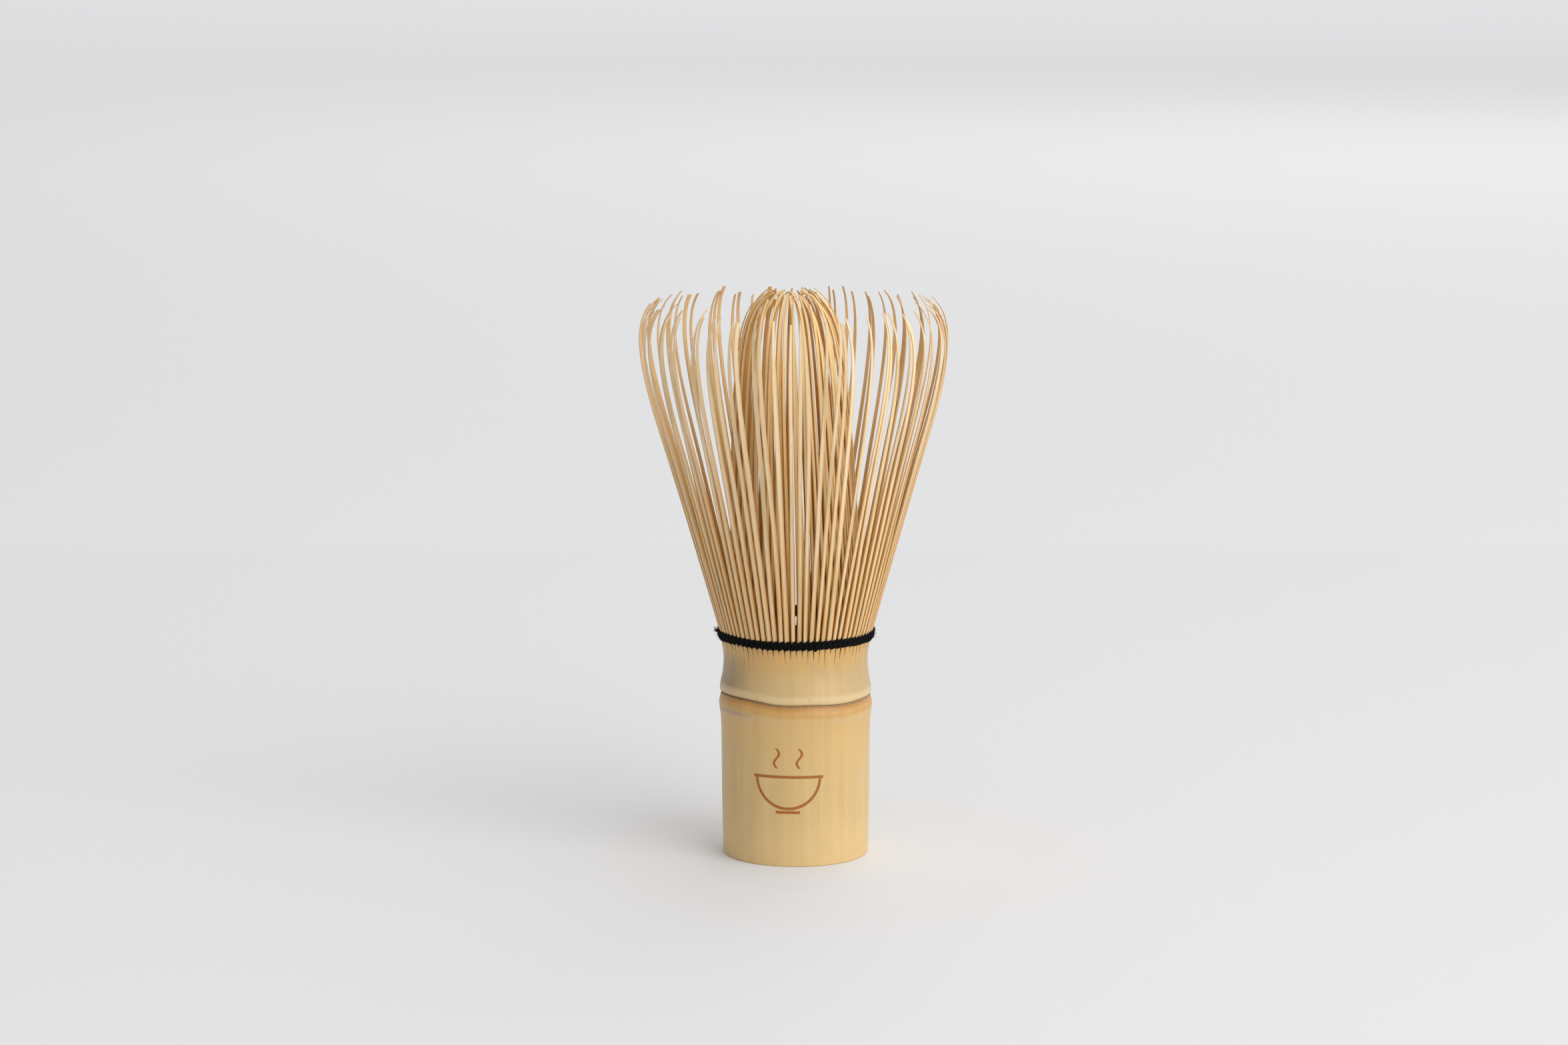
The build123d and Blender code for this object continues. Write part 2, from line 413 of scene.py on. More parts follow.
def culm_material():
    """Bamboo skin: pale straw with lengthwise fibres, the stained node, specks and the burnt mark."""
    s = Shader("bamboo_skin")
    around = s.attribute("around", "Vector")
    height = s.attribute("height")
    across = s.attribute("across")
    split = s.attribute("split")
    axes = s.node("ShaderNodeSeparateXYZ", {0: around}).outputs
    side = axes["X"]
    coarse = s.noise(s.scaled(around, (9, 9, 0.35)), 1, 3, 0.6)
    streak = s.noise(s.scaled(around, (42, 42, 0.7)), 1, 4, 0.65)
    fibre = s.noise(s.scaled(around, (260, 260, 2.6)), 1, 3, 0.6)
    blotch = s.noise(s.scaled(around, (2.2, 2.2, 2.4)), 1, 4, 0.6, 0.3)
    straw = [(0.3, (0.57, 0.385, 0.155)), (0.5, (0.61, 0.42, 0.18)), (0.72, (0.64, 0.45, 0.205))]
    color = s.ramp(coarse, straw)
    darker, paler = s.mix(0.07, color, (0.40, 0.22, 0.07)), (0.86, 0.68, 0.42)
    color = s.mix(s.step(streak, 0.42, 0.66), color, darker)
    color = s.mix(s.step(fibre, 0.5, 0.75), color, s.mix(0.06, color, paler))
    upper = s.product(s.step(height, 14, 27), s.step(height, 31, 30))
    color = s.mix(s.product(upper, 0.3), color, (0.60, 0.36, 0.10))
    # Painted light: the bottom of the handle paler, for light bounced up from the floor.
    color = s.mix(s.product(s.step(height, 13, 3), 0.45), color, (0.73, 0.52, 0.235))
    # The culm greys a little in blotches, most of all on the neck.
    grey_blotches = s.math("ADD", 0.2, s.product(s.step(height, 31, 34), 0.4))
    color = s.mix(s.product(s.step(blotch, 0.5, 0.72), grey_blotches), color, (0.47, 0.33, 0.18))
    color = neck_stains_and_shade(s, color, height, side, coarse)
    color = node_stains_and_shade(s, color, height, side, coarse)
    pale_lip = s.band(height, 31.7, 0.4, 0.9)
    color = s.mix(s.product(pale_lip, 0.35), color, (0.74, 0.58, 0.34))
    warm = s.product(s.step(height, 36.0, 40.5), s.step(coarse, 0.3, 0.6))
    color = s.mix(s.product(warm, 0.5), color, (0.68, 0.36, 0.075))
    color, scar = scar_line(s, color, around, height, side)
    # Small brown specks, mostly just above the scar.
    speck = s.noise(s.scaled(around, (24, 24, 20)), 1, 2, 0.5)
    near = s.product(s.band(height, 32.0, 0.3, 0.8), 0.05)
    speck = s.step(s.math("ADD", speck, near), 0.755, 0.78)
    color = s.mix(s.product(speck, 0.75), color, (0.16, 0.075, 0.03))
    hairline = slit_hairlines(s, axes["X"], axes["Y"], height)
    color = s.mix(s.product(hairline, 0.62), color, (0.46, 0.215, 0.06))
    # Cut faces inside the slits.
    color = s.mix(s.product(split, 0.85), color, (0.58, 0.27, 0.05))
    burn = bowl_mark(s, across, height)
    charred = s.noise(s.scaled(around, (50, 50, 50)), 1, 3, 0.6)
    burnt = s.mix(charred, (0.25, 0.07, 0.0), (0.40, 0.125, 0.0))
    color = s.mix(s.product(burn, 0.96), color, burnt)
    rough = s.math("ADD", s.product(streak, 0.16), 0.33)
    rough = s.math("ADD", rough, s.product(s.math("MAXIMUM", burn, scar), 0.25))
    relief = s.math("ADD", s.product(fibre, 0.5), s.product(streak, 0.8))
    for dent, depth in ((burn, 1.6), (scar, 1.5), (hairline, 1.2)):
        relief = s.math("SUBTRACT", relief, s.product(dent, depth))
    normal = s.bump(relief, 0.25, 0.00006)
    s.bsdf.inputs["Specular IOR Level"].default_value = 0.45
    s.bsdf.inputs["Coat Weight"].default_value = 0.12
    s.bsdf.inputs["Coat Roughness"].default_value = 0.32
    return s.finish(Base_Color=color, Roughness=rough, Normal=normal)


def tine_material(name, faces, cut, gap, root, pale):
    """Shaved bamboo: streaked skin outside, warmer cut faces, brown at the edges, with a few stains.

    faces are the three colours that the skin side runs through from tine to tine, and root is how
    far the skin side takes the gap's colour, as painted shade, at the tine's root. pale says from
    where to where along the tine it pales towards its tip, by how much, and to which colour; the
    paling is partly painted light on tips that lie in shade.
    """
    s = Shader(name)
    grain = s.attribute("grain", "Vector")
    tone = s.attribute("tone")
    skin = s.attribute("skin")
    along = s.attribute("along")
    edge = s.attribute("edge")
    streak = s.noise(s.scaled(grain, (3.2, 0.04, 9)), 1, 3, 0.65)
    fine = s.noise(s.scaled(grain, (15, 0.14, 9)), 1, 3, 0.6)
    fibre = s.noise(s.scaled(grain, (34, 0.4, 26)), 1, 2, 0.6)
    patch = s.noise(s.scaled(grain, (1.3, 0.05, 3)), 1, 3, 0.55)
    face = s.ramp(tone, [(0.0, faces[0]), (0.5, faces[1]), (1.0, faces[2])])
    color = s.mix(skin, s.mix(s.product(tone, 0.35), cut, gap), face)
    for noise, low, high, share, inner_share, toward in (
        (streak, 0.44, 0.62, 0.62, 0.75, cut),
        (fine, 0.48, 0.66, 0.42, 0.5, gap),
        (fibre, 0.5, 0.72, 0.35, 0.5, (0.88, 0.74, 0.52)),
    ):
        amount = s.product(s.step(noise, low, high), share)
        color = s.mix(amount, color, s.mix(inner_share, color, toward))
    # The knife leaves the edges brown, in places only.
    rim = s.step(s.math("ADD", edge, s.product(streak, 1.1)), 0.95, 1.4)
    color = s.mix(s.product(rim, 0.75), color, s.mix(0.7, color, gap))
    # The tine is warmer in colour towards its root.
    color = s.mix(s.product(s.step(along, 40.0, 4.0), 0.3), color, s.mix(0.5, color, cut))
    # Painted shade: over its lowest 22 mm the tine darkens in the gap's colour, for the shade deep
    # between the tines.
    depth = s.math("SUBTRACT", 0.75, s.product(skin, 0.75 - root))
    color = s.mix(s.product(s.step(along, 22.0, 1.0), depth), color, gap)
    # The tine pales towards its tip, as shaved bamboo does, and partly as painted light on tips that
    # lie in shade.
    start, end, share, tip = pale
    color = s.mix(s.product(s.step(along, start, end), share), color, tip)
    # Greenish patches and brown specks.
    green = s.product(s.step(patch, 0.52, 0.66), 0.62)
    color = s.mix(green, color, s.mix(0.62, color, (0.33, 0.27, 0.10)))
    speck = s.noise(s.scaled(grain, (6, 1.6, 9)), 1, 2, 0.5)
    color = s.mix(s.product(s.step(speck, 0.70, 0.76), 0.6), color, (0.22, 0.14, 0.05))
    relief = s.math("ADD", fine, s.product(fibre, 0.5))
    normal = s.bump(relief, 0.4, 0.00005)
    rough = s.math("ADD", s.product(fine, 0.2), 0.36)
    s.bsdf.inputs["Specular IOR Level"].default_value = 0.45
    return s.finish(Base_Color=color, Roughness=rough, Normal=normal)


def flesh_material():
    """Cut bamboo inside the culm: matt, warm, with the ends of its fibres as dark dots."""
    s = Shader("bamboo_flesh")
    place = s.node("ShaderNodeTexCoord").outputs["Object"]
    dots = s.node("ShaderNodeTexVoronoi", {"Vector": place, "Scale": 1900.0}).outputs["Distance"]
    cloud = s.noise(place, 160, 4, 0.6)
    color = s.ramp(cloud, [(0.3, (0.46, 0.28, 0.12)), (0.7, (0.62, 0.42, 0.20))])
    color = s.mix(s.product(s.step(dots, 0.34, 0.16), 0.55), color, (0.20, 0.10, 0.04))
    normal = s.bump(dots, 0.4, 0.00008)
    return s.finish(Base_Color=color, Roughness=0.75, Normal=normal)


def cotton_material():
    """Black cotton: the fine fibres of its yarns, dusty at the edges."""
    s = Shader("cotton_thread")
    grain = s.attribute("grain", "Vector")
    fibre = s.noise(s.scaled(grain, (24, 3, 24)), 1, 4, 0.7)
    lint = s.noise(s.scaled(grain, (9, 9, 9)), 1, 2, 0.5)
    color = s.mix(fibre, (0.0015, 0.0018, 0.0018), (0.006, 0.0065, 0.006))
    color = s.mix(s.product(s.step(lint, 0.70, 0.78), 0.4), color, (0.03, 0.042, 0.028))
    normal = s.bump(fibre, 0.6, 0.00006)
    s.bsdf.inputs["Sheen Weight"].default_value = 0.03
    s.bsdf.inputs["Sheen Roughness"].default_value = 0.5
    s.bsdf.inputs["Specular IOR Level"].default_value = 0.07
    return s.finish(Base_Color=color, Roughness=0.95, Normal=normal)


SKIN = culm_material()
FLESH = flesh_material()
OUTER_WOOD = tine_material(
    "shaved_bamboo_outer",
    [(0.72, 0.54, 0.275), (0.80, 0.62, 0.39), (0.78, 0.585, 0.34)],
    (0.72, 0.40, 0.085),
    (0.46, 0.18, 0.018),
    root=0.1,
    pale=(14.0, 52.0, 0.36, (0.93, 0.76, 0.50)),
)
INNER_WOOD = tine_material(
    "shaved_bamboo_inner",
    [(0.68, 0.48, 0.20), (0.80, 0.60, 0.33), (0.76, 0.53, 0.235)],
    (0.71, 0.39, 0.08),
    (0.44, 0.165, 0.013),
    root=0.5,
    pale=(34.0, 58.0, 0.5, (0.95, 0.67, 0.31)),
)
COTTON = cotton_material()


# --- The culm ---


def scar_drift(azimuth, z):
    """How far the culm's own markings are carried up at a height near its node."""
    degrees = (np.degrees(azimuth) + 180) % 360 - 180
    wander = curve(degrees, SCAR_DRIFT) + 0.1 * ripple(azimuth, 0 * azimuth, 3, 9, 50)
    reach = smooth((z - 26.6) / 2.6) * smooth((36 - z) / 3.5)
    return wander * reach


def culm_radius(azimuth, z):
    """The outside radius, uneven as a grown culm is."""
    uneven = 0.10 * ripple(azimuth, z, 11, 3, 30) + 0.025 * ripple(azimuth, z, 12, 9, 9)
    return curve(z, CULM_SIDE) + uneven * smooth(z / 3 + 0.6)


def culm_values(azimuth, z, split):
    """What the skin's material reads: places round and up the culm, and across its front."""
    around = np.stack([np.cos(azimuth), np.sin(azimuth), z / 14], 1)
    off_front = (azimuth - FRONT + math.pi) % (2 * math.pi) - math.pi
    # The back of the culm reads a place far from the mark.
    across = np.where(np.abs(off_front) < 1.4, off_front * 14.2, 40.0)
    return {"around": around, "height": z, "across": across, "split": split}


def handle():
    """The hollow culm below the scar, with its bore and its cut foot."""
    columns = 540
    cut_edge, shaft = [0.0, 0.06, 0.18, 0.4], np.linspace(1, 26, 40)
    outside = np.concatenate([cut_edge, shaft, np.linspace(26.3, SCAR_Z, 44)])
    edge = np.zeros(len(outside))
    edge[:2] = 0.17, 0.05
    bore_z = np.linspace(SCAR_Z, 0.0, 30)
    bore_r = BORE_RADIUS - 0.12 * np.exp(-((bore_z - 27) ** 2) / 4)
    bore_r[-1] += 0.06
    azimuth = np.linspace(0, 2 * math.pi, columns, endpoint=False)
    rings = []
    for z, cut in zip(outside, edge):
        at = np.full(columns, z)
        rings.append((culm_radius(azimuth, at) - cut, at, 0.0))
    for z, r in zip(bore_z, bore_r):
        at = np.full(columns, z)
        rings.append((r + 0.07 * ripple(azimuth, at, 21, 5, 12), at, 1.0))
    radius = np.concatenate([r for r, _, _ in rings])
    flat = np.concatenate([z for _, z, _ in rings])
    split = np.concatenate([np.full(columns, s) for _, _, s in rings])
    angle = np.tile(azimuth, len(rings))
    z = flat + scar_drift(angle, flat)
    verts = np.stack([radius * np.cos(angle), radius * np.sin(angle), z], 1)
    faces = grid_faces(len(rings), columns, close_rows=True)
    values = culm_values(angle, flat, split)
    slot, stands_for = "bamboo_skin", ["handle_culm"]
    made = piece("culm_handle", verts, faces, HANDLE, slot, SKIN, stands_for, values, sharp=50)
    made.data.materials.append(FLESH)
    inside = len(outside) - 1
    indices = np.zeros(len(faces), np.int32)
    indices.reshape(len(rings), columns)[inside:] = 1
    made.data.polygons.foreach_set("material_index", indices)


def split_ring(rows, outside, inside, foot, width, flare, across=6, wood=0.0):
    """A ring split by slits into one finger for each tine: vertices, faces and values.

    rows are the heights, outside and inside give the radius by (azimuth, z), foot is each slit's
    lowest height, width its width at the top and flare how slowly it opens from one to the other.
    Below a slit's foot its two sides are one.
    """
    strips, columns, count = TINES, across + 1, len(rows)
    strip, column, row, layer = np.indices((strips, columns, count, 2))
    z = rows[row]
    q = column / across * 2 - 1
    slit = np.where(q < 0, strip, (strip + 1) % TINES)
    opening = np.clip((z - foot[slit]) / (ROOT_TOP_Z - 0.5 - foot[slit]), 0, 1) ** flare[slit]
    half = width[slit] / 2 * opening / outside(0 * z, z)
    azimuth = (strip + 0.5) * PITCH + q * (PITCH / 2 - half)
    edge = (half > 0) & ((column == 0) | (column == across))
    radius = np.where(layer == 0, outside(azimuth, z) - 0.05 * edge, inside(azimuth, z))
    cut = np.where(layer == 1, 1.0, np.maximum(0.55 * edge, wood))

    number = np.arange(strip.size).reshape(strip.shape)
    closed = rows[None, :] <= foot[(np.arange(strips) + 1) % TINES][:, None]
    next_strip = np.roll(number[:, 0], -1, axis=0)
    number[:, across] = np.where(closed[:, :, None], next_strip, number[:, across])
    low, high = number[:, :, :-1], number[:, :, 1:]
    foot_row, top_row = number[:, :, 0], number[:, :, -1]

    def quad(*corners):
        return np.stack(corners, -1)

    quads = [
        quad(low[:, :-1, :, 0], low[:, 1:, :, 0], high[:, 1:, :, 0], high[:, :-1, :, 0]),
        quad(low[:, :-1, :, 1], high[:, :-1, :, 1], high[:, 1:, :, 1], low[:, 1:, :, 1]),
        quad(foot_row[:, :-1, 0], foot_row[:, :-1, 1], foot_row[:, 1:, 1], foot_row[:, 1:, 0]),
        quad(top_row[:, :-1, 0], top_row[:, 1:, 0], top_row[:, 1:, 1], top_row[:, :-1, 1]),
    ]
    open_left = rows[None, 1:] > foot[:, None]
    open_right = np.roll(open_left, -1, axis=0)
    left = quad(low[:, 0, :, 0], high[:, 0, :, 0], high[:, 0, :, 1], low[:, 0, :, 1])
    right = quad(low[:, -1, :, 0], low[:, -1, :, 1], high[:, -1, :, 1], high[:, -1, :, 0])
    walls = ((left, open_left), (right, open_right))
    quads += [wall[is_open] for wall, is_open in walls]
    quads = np.concatenate([quad.reshape(-1, 4) for quad in quads])
    used, quads = np.unique(quads, return_inverse=True)
    azimuth, z, radius, cut = (a.ravel()[used] for a in (azimuth, z, radius, cut))
    height = z + scar_drift(azimuth, z)
    verts = np.stack([radius * np.cos(azimuth), radius * np.sin(azimuth), height], 1)
    return verts, quads.reshape(-1, 4).tolist(), culm_values(azimuth, z, cut)


NECK_BORE = [(30.8, 11.0), (35.8, 11.7), (36.2, 12.0), (36.5, 12.95), (39, 13.05), (43.6, 13.85)]
SLIT_FOOT = np.clip(rng.normal(40.7, 0.55, TINES), 39.4, 41.7)
SLIT_WIDTH = np.clip(rng.normal(0.36, 0.09, TINES), 0.19, 0.54)
SLIT_FLARE = rng.uniform(0.6, 1.35, TINES)
# Some slits run on down as a narrow crack.
CRACKED = rng.choice(TINES, 15, replace=False)
SLIT_FOOT[CRACKED] -= rng.uniform(0.8, 2.6, len(CRACKED))
SLIT_FLARE[CRACKED] = 1.9


def slit_webs(start):
    """The wood left at the bottom of each slit, where the cut runs out towards the skin."""
    verts, faces = [], []
    for k in range(TINES):
        azimuth = k * PITCH
        z = SLIT_FOOT[k] + np.array([-0.4, 0, 0.5, 1.0, 1.6, 2.2])
        inside = np.interp(z, *np.transpose(NECK_BORE)) + 0.05
        depth = 0.08 + 0.35 * np.maximum(z - SLIT_FOOT[k], 0)
        outside = np.maximum(culm_radius(np.full(len(z), azimuth), z) - depth, inside + 0.05)
        half = (SLIT_WIDTH[k] / 2 + 0.06) / 14
        section = [(-half, inside), (half, inside), (half, outside), (-half, outside)]
        corners = [
            np.stack([r * math.cos(azimuth + a), r * math.sin(azimuth + a), z], 1) for a, r in section
        ]
        rings = np.stack(corners, 1)
        faces += rod(rings, start + len(verts) * rings.shape[0] * rings.shape[1])
        verts.append(rings.reshape(-1, 3))
    verts = np.concatenate(verts)
    angle = np.arctan2(verts[:, 1], verts[:, 0])
    return verts, faces, culm_values(angle, verts[:, 2], np.ones(len(verts)))


def neck():
    """The culm above the scar, split into the roots of the outer tines."""
    lip, waist = np.linspace(SCAR_Z, 32.6, 14), np.linspace(33, 37, 9)
    rows = np.concatenate([lip, waist, np.linspace(37.3, ROOT_TOP_Z, 26)])
    verts, faces, values = split_ring(
        rows,
        culm_radius,
        lambda azimuth, z: np.interp(z, *np.transpose(NECK_BORE)),
        SLIT_FOOT,
        SLIT_WIDTH,
        SLIT_FLARE,
    )
    webs, web_faces, web_values = slit_webs(len(verts))
    values = {key: np.concatenate([value, web_values[key]]) for key, value in values.items()}
    piece(
        "culm_neck",
        np.concatenate([verts, webs]),
        faces + web_faces,
        HANDLE,
        "bamboo_skin",
        SKIN,
        ["neck_collar", "outer_tine_roots"],
        values,
        sharp=50,
    )


def inner_roots():
    """The roots of the inner tines, behind the outer ones."""
    rows = np.linspace(35.9, ROOT_TOP_Z, 18)
    verts, faces, values = split_ring(
        rows,
        lambda azimuth, z: 12.93 - 0.02 * (z - 36) / 7,
        lambda azimuth, z: 11.75 + 0.55 * (z - 36) / 7,
        np.clip(rng.normal(38.5, 0.6, TINES), 37, 40),
        np.full(TINES, 0.5),
        np.ones(TINES),
        across=4,
        wood=0.6,
    )
    slot, stands_for = "bamboo_inner_tines", ["inner_tine_roots"]
    piece("inner_root_ring", verts, faces, HANDLE, slot, SKIN, stands_for, values, sharp=50)


def septum():
    """The wall across the node, dished and uneven above and below."""
    columns, count = 96, 14
    azimuth = np.linspace(0, 2 * math.pi, columns, endpoint=False)
    radii = np.linspace(10.68, 0.6, count)
    verts = []
    for face in (0, 1):
        for r in radii if face else radii[::-1]:
            share = r / 10.7
            uneven = 0.12 * ripple(azimuth, np.full(columns, r * 1.5), 31 + face, 4, 6)
            if face:
                z = 29.35 + 0.65 * share**2 + uneven * (1 - share**4)
            else:
                z = 27.75 - 0.25 * share**2 - 0.5 * uneven * (1 - share**4)
            verts.append(np.stack([r * np.cos(azimuth), r * np.sin(azimuth), z * np.ones(columns)], 1))
    rings = np.array(verts)
    verts, slot, stands_for = rings.reshape(-1, 3), "bamboo_flesh", ["node_septum"]
    piece("node_septum_wall", verts, rod(rings), HANDLE, slot, FLESH, stands_for, sharp=60)


# --- The tines ---

# The lean of a tine from upright, in degrees outwards, by the length along it from its foot
OUTER_LEAN = [
    (0, 16.3),
    (30, 16.4),
    (44, 16.2),
    (48, 14.3),
    (52, 11.4),
    (55.5, 7.6),
    (58.5, 1.6),
    (60.5, -5),
    (62.3, -12),
    (64.3, -24),
    (66.5, -41),
    (68, -52),
]
INNER_LEAN = [
    (0, -1.2),
    (20, -1.7),
    (32, -2.6),
    (40, -3.6),
    (48, -5.0),
    (54, -7.8),
    (58, -12.5),
    (61, -20),
    (63.5, -30.5),
    (66, -46),
    (68, -60),
    (70, -70),
    (72, -76),
]
# Widths and thicknesses by the length along the tine. An outer tine's tip is drawn for each tine.
OUTER_WIDTH = [(0, 0.94), (12, 0.96), (20, 0.98), (45, 0.93), (57, 0.84)]
OUTER_THICKNESS = [(0, 0.8), (10, 0.62), (22, 0.46), (40, 0.36), (54, 0.28), (62, 0.2), (68, 0.12)]
INNER_WIDTH = [(0, 1.0), (20, 0.97), (45, 0.92), (62, 0.72), (72, 0.42)]
INNER_THICKNESS = [(0, 0.6), (15, 0.46), (40, 0.34), (56, 0.26), (66, 0.18), (72, 0.11)]
# How far the tips of each ring stand off centre, to the left
OUTER_DRIFT = 0.45
INNER_DRIFT = 1.2
# The farthest out and the highest that a tine may reach
OUTER_REACH = 29.95
TOP_Z = 109.85
# How many rings of vertices a tine has, and the height that it starts from
TINE_STEPS = 54
FOOT_Z = 42.7


def clumped(spread, patterns, draw):
    """How far each tine's tip lies from its even place, in pitches.

    Each group's tines fall into the clumps of one of the patterns, and drift as clumps.
    """
    shift = rng.normal(0, spread, TINES)
    for group in range(GROUPS):
        k = group * TINES_PER_GROUP
        for size in patterns[rng.integers(len(patterns))]:
            middle = k + (size - 1) / 2
            drift = rng.normal(0, 0.3)
            for n in range(k, k + size):
                shift[n] += drift + (middle - n) * rng.uniform(*draw) * (size > 1)
            k += size
    return shift


def tine(azimuth, foot_radius, lean_line, drift, lean, length, curl, sway, width, thickness, twist):
    """The rings of one tine, with what its material reads.

    That is places across and along the tine, its share of skin and its share of edge.
    """
    s = np.linspace(0, length, TINE_STEPS)
    base = curve(s, lean_line)
    straight = lean_line[0][1]
    angle = np.radians(straight + (base - straight) * curl + lean * smooth(s / 14))
    ds = np.gradient(s)[1:]
    r, z = (
        start + np.concatenate([[0], np.cumsum((rate[1:] + rate[:-1]) / 2 * ds)])
        for start, rate in ((foot_radius, np.sin(angle)), (FOOT_Z, np.cos(angle)))
    )
    share = s / TINE_LENGTH
    path = np.stack([r, sway(share), z], 1)
    tangent = np.gradient(path, axis=0)
    tangent /= np.linalg.norm(tangent, axis=1)[:, None]
    beside = np.array([0.0, 1.0, 0.0]) - tangent * tangent[:, 1:2]
    beside /= np.linalg.norm(beside, axis=1)[:, None]
    outward = np.cross(beside, tangent)
    turn = np.radians(twist) * smooth(share)
    u = beside * np.cos(turn)[:, None] + outward * np.sin(turn)[:, None]
    v = outward * np.cos(turn)[:, None] - beside * np.sin(turn)[:, None]
    half_w = width(s) / 2
    half_t = thickness(s) / 2
    corner = np.minimum(0.07, half_t * 0.45)
    # Each column of vertices: its place across and through the tine, its share of skin and of edge.
    columns = [
        (-half_w, half_t - corner, 0.8, 1.1),
        (-half_w + corner, half_t, 1.0, 0.9),
        (0 * half_w, half_t + 0.07 * half_w, 1.0, 0.0),
        (half_w - corner, half_t, 1.0, 0.9),
        (half_w, half_t - corner, 0.8, 1.1),
        (half_w, -half_t + corner, 0.1, 1.1),
        (half_w - corner, -half_t, 0.0, 0.9),
        (0 * half_w, -half_t, 0.0, 0.0),
        (-half_w + corner, -half_t, 0.0, 0.9),
        (-half_w, -half_t + corner, 0.1, 1.1),
    ]
    rings = np.stack([path + u * column[0][:, None] + v * column[1][:, None] for column in columns], 1)
    cos, sin = math.cos(azimuth), math.sin(azimuth)
    x, y = rings[..., 0].copy(), rings[..., 1].copy()
    rings[..., 0] = x * cos - y * sin - drift * smooth(share)[:, None]
    rings[..., 1] = x * sin + y * cos
    across = np.stack([column[0] + column[1] for column in columns], 1).ravel()
    skin, edge = (np.tile([column[n] for column in columns], TINE_STEPS) for n in (2, 3))
    return rings, {"across": across, "along": np.repeat(s, len(columns)), "skin": skin, "edge": edge}


def tine_values(k, values):
    """The tine's values with a tone and a grain of its own."""
    across = values.pop("across")
    grain = np.stack([across + 3.7 * k, values["along"], np.full(len(across), 1.3 * k)], 1)
    return {**values, "grain": grain, "tone": rng.random()}


def tine_azimuth(k):
    """The even place of a tine round the whisk."""
    return math.radians((k - 1.5) * 360 / TINES)


def scaled_line(scale, points):
    """A smooth line through (x, y) points, with its heights scaled."""
    return lambda x: scale * curve(x, points)


def sway_line(tip, wobble):
    """Where a tine lies beside its even place, by the share of its length."""
    phase = rng.uniform(0, 2 * math.pi)
    bend = rng.uniform(1.3, 2.2)
    return lambda t: tip * t**bend + wobble * np.sin(2 * math.pi * 0.8 * t + phase) * t * (1.2 - t)


def bundle(name, node, wood, slot, rods):
    """The tines of one group as one piece, in place of the group's node."""
    heap = Heap()
    for rings, values in rods:
        heap.add(rings, **values)
    made = heap.piece(name, None, slot, wood, stands_for=[node], sharp=30)
    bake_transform(made)


def outer_tines():
    """The splayed outer ring."""
    # Two pairs come up twice as often as the other clumps.
    patterns = [(2, 2), (2, 2), (3, 1), (1, 3), (1, 2, 1), (1, 1, 2), (2, 1, 1), (4,)]
    shift = clumped(0.1, patterns, (0.5, 0.85))
    for group in range(GROUPS):
        rods = []
        for n in range(TINES_PER_GROUP):
            k = group * TINES_PER_GROUP + n
            azimuth = tine_azimuth(k)
            full = np.clip(rng.normal(0.86, 0.08), 0.7, 1.02)
            # Most tips are shaved narrow, and a few are left broad.
            tip = rng.uniform(0.25, 0.5) if rng.random() < 0.88 else rng.uniform(0.8, 1.1)
            tapered = OUTER_WIDTH + [(63, 0.38 + tip * 0.45), (68, tip)]
            heft = rng.normal(1, 0.08)
            lean = np.clip(rng.normal(-0.15, 0.2), -0.6, 0.1) + (0.2 if k % 2 else -0.2)
            shape = {
                "length": rng.uniform(65.0, 68.0) + 0.9 * math.cos(azimuth) ** 2,
                "curl": np.clip(rng.normal(1, 0.06), 0.88, 1.12),
                "sway": sway_line(shift[k] * 2.05 + rng.normal(0, 0.2), rng.normal(0, 0.3)),
                "width": scaled_line(full, tapered),
                "thickness": scaled_line(heft, OUTER_THICKNESS),
                "twist": rng.normal(0, 14),
            }
            place = (azimuth, OUTER_FOOT_RADIUS, OUTER_LEAN, OUTER_DRIFT)
            rings, values = tine(*place, lean, **shape)
            # A tine that reaches too far out is leant back in.
            excess = abs(rings[..., :2]).max() - OUTER_REACH
            if excess > 0:
                lean -= math.degrees(excess / 50)
                rings, values = tine(*place, lean, **shape)
            rods.append((rings, tine_values(k, values)))
        node = f"outer_tines_{group + 1:02d}"
        bundle(node + "_carved", node, OUTER_WOOD, "bamboo_outer_tines", rods)


def inner_tines():
    """The gathered inner ring."""
    shift = clumped(0.15, [(2, 2), (4,), (3, 1), (1, 3)], (0.6, 0.9))
    for group in range(GROUPS):
        rods = []
        for n in range(TINES_PER_GROUP):
            k = group * TINES_PER_GROUP + n
            full = np.clip(rng.normal(0.68, 0.06), 0.54, 0.8)
            heft = rng.normal(1, 0.08)
            shape = {
                "length": rng.uniform(64.5, 70.0),
                "curl": np.clip(rng.normal(1.0, 0.08), 0.85, 1.15),
                "sway": sway_line(shift[k] * 0.72, rng.normal(0, 0.35)),
                "width": scaled_line(full, INNER_WIDTH),
                "thickness": scaled_line(heft, INNER_THICKNESS),
                "twist": rng.normal(0, 22),
            }
            # Every other tine leans further in.
            lean = rng.normal(0, 0.25) - (k % 2) * 0.5
            place = (tine_azimuth(k), INNER_FOOT_RADIUS, INNER_LEAN, INNER_DRIFT)
            rings, values = tine(*place, lean, **shape)
            # A tip that stands too high is pressed down.
            tall = rings[..., 2].max()
            if tall > TOP_Z:
                high = np.maximum(rings[..., 2] - 100, 0)
                rings[..., 2] -= high * (tall - rng.uniform(TOP_Z - 1.0, TOP_Z)) / (tall - 100)
            rods.append((rings, tine_values(k + 200, values)))
        node = f"inner_tines_{group + 1:02d}"
        bundle(node + "_carved", node, INNER_WOOD, "bamboo_inner_tines", rods)


# --- The thread ---

# How far in a strand passes behind a tine, and how far out the thread's own face stands
INSIDE_TINES = 13.35
THREAD_FACE = 15.1
